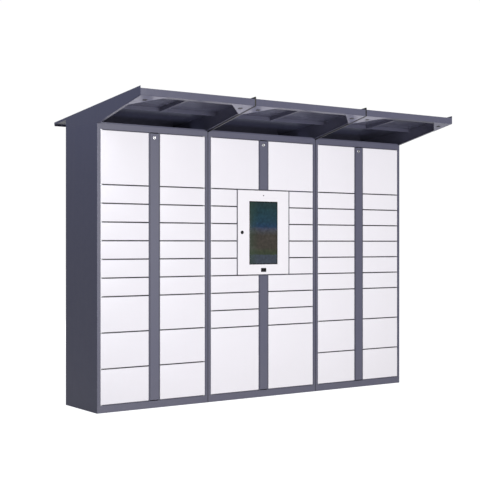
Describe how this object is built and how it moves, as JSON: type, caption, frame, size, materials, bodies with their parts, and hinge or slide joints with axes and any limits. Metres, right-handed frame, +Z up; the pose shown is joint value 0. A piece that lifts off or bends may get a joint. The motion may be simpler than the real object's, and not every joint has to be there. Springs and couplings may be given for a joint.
{
  "type": "parcel locker",
  "caption": "Outdoor steel parcel locker: cabinets side by side with hinged compartment doors, a touch-screen console and sloping rain canopies.",
  "frame": {"origin": "on the floor, at the centre of the three cabinets' common footprint, on the underside of the master base plate", "axes": "+Z up, +X along the row of cabinets to the viewer's right when facing the doors, +Y from the doors to the back; the doors face -Y"},
  "size_m": [2.844, 1.285, 2.187],
  "materials": {
    "frame_paint": "satin powder coat",
    "canopy_paint": "satin powder coat",
    "inner_paint": "satin powder coat",
    "door_paint": "satin powder coat",
    "console_paint": "satin powder coat",
    "lock_metal": "satin metal",
    "dark_metal": "blackened metal",
    "pin_steel": "bright steel",
    "lock_body": "cast and blasted",
    "display_case": "matt black",
    "display_glass": "glossy, dark, screen idle",
    "black_plastic": "glossy black window",
    "equipment_case": "matt dark case",
    "gland_plastic": "moulded"
  },
  "bodies": {
    "cabinet": {"back_panels": "frame_paint", "base_plates": "frame_paint", "cable_gland": "gland_plastic", "canopy_braces": "canopy_paint", "canopy_gussets": "canopy_paint", "canopy_roofs": "canopy_paint", "canopy_side_plates": "canopy_paint", "compartment_shelves": "inner_paint", "control_computer": "equipment_case", "door_hinges": "pin_steel", "door_locks": "lock_body", "frame_rails": "frame_paint", "partition_walls": "inner_paint", "side_walls": "frame_paint", "top_panels": "frame_paint"},
    "left_left_column_large_door_1": {"left_left_column_large_door_1": "door_paint"},
    "left_left_column_small_doors": {"left_left_column_small_doors": "door_paint"},
    "left_left_column_medium_door_1": {"left_left_column_medium_door_1": "door_paint"},
    "left_left_column_medium_door_2": {"left_left_column_medium_door_2": "door_paint"},
    "left_left_column_medium_door_3": {"left_left_column_medium_door_3": "door_paint"},
    "left_right_column_large_door_1": {"left_right_column_large_door_1": "door_paint"},
    "left_right_column_small_doors": {"left_right_column_small_doors": "door_paint"},
    "left_right_column_medium_door_1": {"left_right_column_medium_door_1": "door_paint"},
    "left_right_column_medium_door_2": {"left_right_column_medium_door_2": "door_paint"},
    "left_right_column_medium_door_3": {"left_right_column_medium_door_3": "door_paint"},
    "master_left_column_large_door_1": {"master_left_column_large_door_1": "door_paint"},
    "master_left_column_narrow_doors": {"master_left_column_narrow_doors": "door_paint"},
    "master_left_column_small_door_1": {"master_left_column_small_door_1": "door_paint"},
    "master_left_column_small_door_2": {"master_left_column_small_door_2": "door_paint"},
    "master_left_column_small_door_3": {"master_left_column_small_door_3": "door_paint"},
    "master_left_column_extra_large_door_1": {"master_left_column_extra_large_door_1": "door_paint"},
    "master_right_column_large_door_1": {"master_right_column_large_door_1": "door_paint"},
    "master_right_column_narrow_doors": {"master_right_column_narrow_doors": "door_paint"},
    "master_right_column_small_door_1": {"master_right_column_small_door_1": "door_paint"},
    "master_right_column_small_door_2": {"master_right_column_small_door_2": "door_paint"},
    "master_right_column_small_door_3": {"master_right_column_small_door_3": "door_paint"},
    "master_right_column_extra_large_door_1": {"master_right_column_extra_large_door_1": "door_paint"},
    "right_left_column_large_door_1": {"right_left_column_large_door_1": "door_paint"},
    "right_left_column_small_doors": {"right_left_column_small_doors": "door_paint"},
    "right_left_column_medium_door_1": {"right_left_column_medium_door_1": "door_paint"},
    "right_left_column_medium_door_2": {"right_left_column_medium_door_2": "door_paint"},
    "right_left_column_medium_door_3": {"right_left_column_medium_door_3": "door_paint"},
    "right_right_column_large_door_1": {"right_right_column_large_door_1": "door_paint"},
    "right_right_column_small_doors": {"right_right_column_small_doors": "door_paint"},
    "right_right_column_medium_door_1": {"right_right_column_medium_door_1": "door_paint"},
    "right_right_column_medium_door_2": {"right_right_column_medium_door_2": "door_paint"},
    "right_right_column_medium_door_3": {"right_right_column_medium_door_3": "door_paint"},
    "left_cover": {"left_cover": "frame_paint"},
    "left_cover_lock": {"left_cover_lock": "lock_metal"},
    "right_cover": {"right_cover": "frame_paint"},
    "right_cover_lock": {"right_cover_lock": "lock_metal"},
    "master_upper_cover": {"master_upper_cover": "frame_paint"},
    "master_cover_lock": {"master_cover_lock": "lock_metal"},
    "master_lower_cover": {"master_lower_cover": "frame_paint"},
    "console": {"console_door": "console_paint", "touch_display": "display_case", "display_glass": "display_glass", "camera": "black_plastic", "scanner": "black_plastic"},
    "console_lock": {"console_lock": "dark_metal"}
  },
  "joints": [
    {"name": "left_left_column_large_door_1_hinge", "type": "hinge", "parent": "cabinet", "child": "left_left_column_large_door_1", "pos_m": [-1.387, -0.24, 1.77], "axis": [0, 0, -1], "range_deg": [0, 90]},
    {"name": "left_left_column_small_doors_hinge", "type": "hinge", "parent": "cabinet", "child": "left_left_column_small_doors", "pos_m": [-1.387, -0.24, 1.1915], "axis": [0, 0, -1], "range_deg": [0, 90]},
    {"name": "left_left_column_medium_door_1_hinge", "type": "hinge", "parent": "cabinet", "child": "left_left_column_medium_door_1", "pos_m": [-1.387, -0.24, 0.678], "axis": [0, 0, -1], "range_deg": [0, 90]},
    {"name": "left_left_column_medium_door_2_hinge", "type": "hinge", "parent": "cabinet", "child": "left_left_column_medium_door_2", "pos_m": [-1.387, -0.24, 0.428], "axis": [0, 0, -1], "range_deg": [0, 90]},
    {"name": "left_left_column_medium_door_3_hinge", "type": "hinge", "parent": "cabinet", "child": "left_left_column_medium_door_3", "pos_m": [-1.387, -0.24, 0.178], "axis": [0, 0, -1], "range_deg": [0, 90]},
    {"name": "left_right_column_large_door_1_hinge", "type": "hinge", "parent": "cabinet", "child": "left_right_column_large_door_1", "pos_m": [-0.545, -0.24, 1.77], "axis": [0, 0, 1], "range_deg": [0, 90]},
    {"name": "left_right_column_small_doors_hinge", "type": "hinge", "parent": "cabinet", "child": "left_right_column_small_doors", "pos_m": [-0.545, -0.24, 1.1915], "axis": [0, 0, 1], "range_deg": [0, 90]},
    {"name": "left_right_column_medium_door_1_hinge", "type": "hinge", "parent": "cabinet", "child": "left_right_column_medium_door_1", "pos_m": [-0.545, -0.24, 0.678], "axis": [0, 0, 1], "range_deg": [0, 90]},
    {"name": "left_right_column_medium_door_2_hinge", "type": "hinge", "parent": "cabinet", "child": "left_right_column_medium_door_2", "pos_m": [-0.545, -0.24, 0.428], "axis": [0, 0, 1], "range_deg": [0, 90]},
    {"name": "left_right_column_medium_door_3_hinge", "type": "hinge", "parent": "cabinet", "child": "left_right_column_medium_door_3", "pos_m": [-0.545, -0.24, 0.178], "axis": [0, 0, 1], "range_deg": [0, 90]},
    {"name": "master_left_column_large_door_1_hinge", "type": "hinge", "parent": "cabinet", "child": "master_left_column_large_door_1", "pos_m": [-0.475, -0.24, 1.77], "axis": [0, 0, -1], "range_deg": [0, 90]},
    {"name": "master_left_column_narrow_doors_hinge", "type": "hinge", "parent": "cabinet", "child": "master_left_column_narrow_doors", "pos_m": [-0.475, -0.24, 1.25625], "axis": [0, 0, -1], "range_deg": [0, 90]},
    {"name": "master_left_column_small_door_1_hinge", "type": "hinge", "parent": "cabinet", "child": "master_left_column_small_door_1", "pos_m": [-0.475, -0.24, 0.86775], "axis": [0, 0, -1], "range_deg": [0, 90]},
    {"name": "master_left_column_small_door_2_hinge", "type": "hinge", "parent": "cabinet", "child": "master_left_column_small_door_2", "pos_m": [-0.475, -0.24, 0.73825], "axis": [0, 0, -1], "range_deg": [0, 90]},
    {"name": "master_left_column_small_door_3_hinge", "type": "hinge", "parent": "cabinet", "child": "master_left_column_small_door_3", "pos_m": [-0.475, -0.24, 0.60875], "axis": [0, 0, -1], "range_deg": [0, 90]},
    {"name": "master_left_column_extra_large_door_1_hinge", "type": "hinge", "parent": "cabinet", "child": "master_left_column_extra_large_door_1", "pos_m": [-0.475, -0.24, 0.2985], "axis": [0, 0, -1], "range_deg": [0, 90]},
    {"name": "master_right_column_large_door_1_hinge", "type": "hinge", "parent": "cabinet", "child": "master_right_column_large_door_1", "pos_m": [0.475, -0.24, 1.77], "axis": [0, 0, 1], "range_deg": [0, 90]},
    {"name": "master_right_column_narrow_doors_hinge", "type": "hinge", "parent": "cabinet", "child": "master_right_column_narrow_doors", "pos_m": [0.475, -0.24, 1.25625], "axis": [0, 0, 1], "range_deg": [0, 90]},
    {"name": "master_right_column_small_door_1_hinge", "type": "hinge", "parent": "cabinet", "child": "master_right_column_small_door_1", "pos_m": [0.475, -0.24, 0.86775], "axis": [0, 0, 1], "range_deg": [0, 90]},
    {"name": "master_right_column_small_door_2_hinge", "type": "hinge", "parent": "cabinet", "child": "master_right_column_small_door_2", "pos_m": [0.475, -0.24, 0.73825], "axis": [0, 0, 1], "range_deg": [0, 90]},
    {"name": "master_right_column_small_door_3_hinge", "type": "hinge", "parent": "cabinet", "child": "master_right_column_small_door_3", "pos_m": [0.475, -0.24, 0.60875], "axis": [0, 0, 1], "range_deg": [0, 90]},
    {"name": "master_right_column_extra_large_door_1_hinge", "type": "hinge", "parent": "cabinet", "child": "master_right_column_extra_large_door_1", "pos_m": [0.475, -0.24, 0.2985], "axis": [0, 0, 1], "range_deg": [0, 90]},
    {"name": "right_left_column_large_door_1_hinge", "type": "hinge", "parent": "cabinet", "child": "right_left_column_large_door_1", "pos_m": [0.545, -0.24, 1.77], "axis": [0, 0, -1], "range_deg": [0, 90]},
    {"name": "right_left_column_small_doors_hinge", "type": "hinge", "parent": "cabinet", "child": "right_left_column_small_doors", "pos_m": [0.545, -0.24, 1.1915], "axis": [0, 0, -1], "range_deg": [0, 90]},
    {"name": "right_left_column_medium_door_1_hinge", "type": "hinge", "parent": "cabinet", "child": "right_left_column_medium_door_1", "pos_m": [0.545, -0.24, 0.678], "axis": [0, 0, -1], "range_deg": [0, 90]},
    {"name": "right_left_column_medium_door_2_hinge", "type": "hinge", "parent": "cabinet", "child": "right_left_column_medium_door_2", "pos_m": [0.545, -0.24, 0.428], "axis": [0, 0, -1], "range_deg": [0, 90]},
    {"name": "right_left_column_medium_door_3_hinge", "type": "hinge", "parent": "cabinet", "child": "right_left_column_medium_door_3", "pos_m": [0.545, -0.24, 0.178], "axis": [0, 0, -1], "range_deg": [0, 90]},
    {"name": "right_right_column_large_door_1_hinge", "type": "hinge", "parent": "cabinet", "child": "right_right_column_large_door_1", "pos_m": [1.387, -0.24, 1.77], "axis": [0, 0, 1], "range_deg": [0, 90]},
    {"name": "right_right_column_small_doors_hinge", "type": "hinge", "parent": "cabinet", "child": "right_right_column_small_doors", "pos_m": [1.387, -0.24, 1.1915], "axis": [0, 0, 1], "range_deg": [0, 90]},
    {"name": "right_right_column_medium_door_1_hinge", "type": "hinge", "parent": "cabinet", "child": "right_right_column_medium_door_1", "pos_m": [1.387, -0.24, 0.678], "axis": [0, 0, 1], "range_deg": [0, 90]},
    {"name": "right_right_column_medium_door_2_hinge", "type": "hinge", "parent": "cabinet", "child": "right_right_column_medium_door_2", "pos_m": [1.387, -0.24, 0.428], "axis": [0, 0, 1], "range_deg": [0, 90]},
    {"name": "right_right_column_medium_door_3_hinge", "type": "hinge", "parent": "cabinet", "child": "right_right_column_medium_door_3", "pos_m": [1.387, -0.24, 0.178], "axis": [0, 0, 1], "range_deg": [0, 90]},
    {"name": "left_cover_tilt", "type": "hinge", "parent": "cabinet", "child": "left_cover", "pos_m": [-0.966, -0.24, 0.06525], "axis": [1, 0, 0], "range_deg": [0, 12]},
    {"name": "left_cover_lock_turn", "type": "hinge", "parent": "left_cover", "child": "left_cover_lock", "pos_m": [-0.966, -0.235, 1.926], "axis": [0, 1, 0], "range_deg": [0, 90]},
    {"name": "right_cover_tilt", "type": "hinge", "parent": "cabinet", "child": "right_cover", "pos_m": [0.966, -0.24, 0.06525], "axis": [1, 0, 0], "range_deg": [0, 12]},
    {"name": "right_cover_lock_turn", "type": "hinge", "parent": "right_cover", "child": "right_cover_lock", "pos_m": [0.966, -0.235, 1.926], "axis": [0, 1, 0], "range_deg": [0, 90]},
    {"name": "master_upper_cover_tilt", "type": "hinge", "parent": "cabinet", "child": "master_upper_cover", "pos_m": [0, -0.24, 1.59225], "axis": [1, 0, 0], "range_deg": [0, 12]},
    {"name": "master_cover_lock_turn", "type": "hinge", "parent": "master_upper_cover", "child": "master_cover_lock", "pos_m": [0, -0.235, 1.926], "axis": [0, 1, 0], "range_deg": [0, 90]},
    {"name": "master_lower_cover_tilt", "type": "hinge", "parent": "cabinet", "child": "master_lower_cover", "pos_m": [0, -0.24, 0.06525], "axis": [1, 0, 0], "range_deg": [0, 12]},
    {"name": "console_hinge", "type": "hinge", "parent": "cabinet", "child": "console", "pos_m": [0.2325, -0.24, 1.25625], "axis": [0, 0, 1], "range_deg": [0, 90]},
    {"name": "console_lock_turn", "type": "hinge", "parent": "console", "child": "console_lock", "pos_m": [-0.2005, -0.235, 1.256], "axis": [0, 1, 0], "range_deg": [0, 90]}
  ]
}
